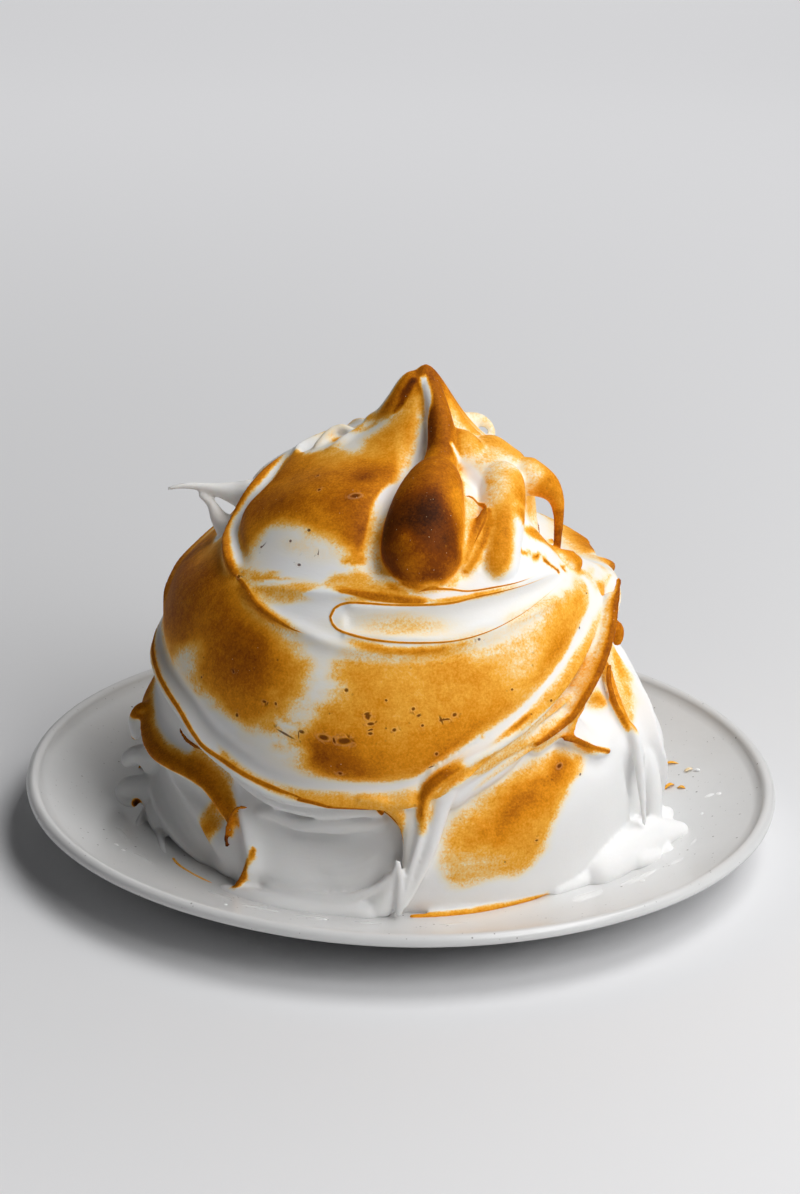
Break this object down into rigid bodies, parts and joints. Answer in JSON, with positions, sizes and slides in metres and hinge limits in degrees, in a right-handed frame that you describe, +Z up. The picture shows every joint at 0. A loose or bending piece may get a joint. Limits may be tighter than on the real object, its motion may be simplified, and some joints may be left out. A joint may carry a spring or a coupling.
{
  "type": "baked alaska",
  "caption": "Domed dessert in swirled, toasted meringue with a curled peak, standing on the round coupe plate it is served on.",
  "frame": {"origin": "middle of the plate's foot ring, on the surface it stands on", "axes": "+Z up through the dome; the front, with the drip and the bulb below the peak, faces -Y; +X is to the right seen from the front"},
  "size_m": [0.27, 0.27, 0.172],
  "materials": {
    "stoneware": "satin off-white glaze with fine dark specks",
    "meringue": "soft white meringue, toasted golden to dark brown on its raised faces"
  },
  "bodies": {
    "root": {"plate": "stoneware", "meringue": "meringue"}
  },
  "joints": []
}
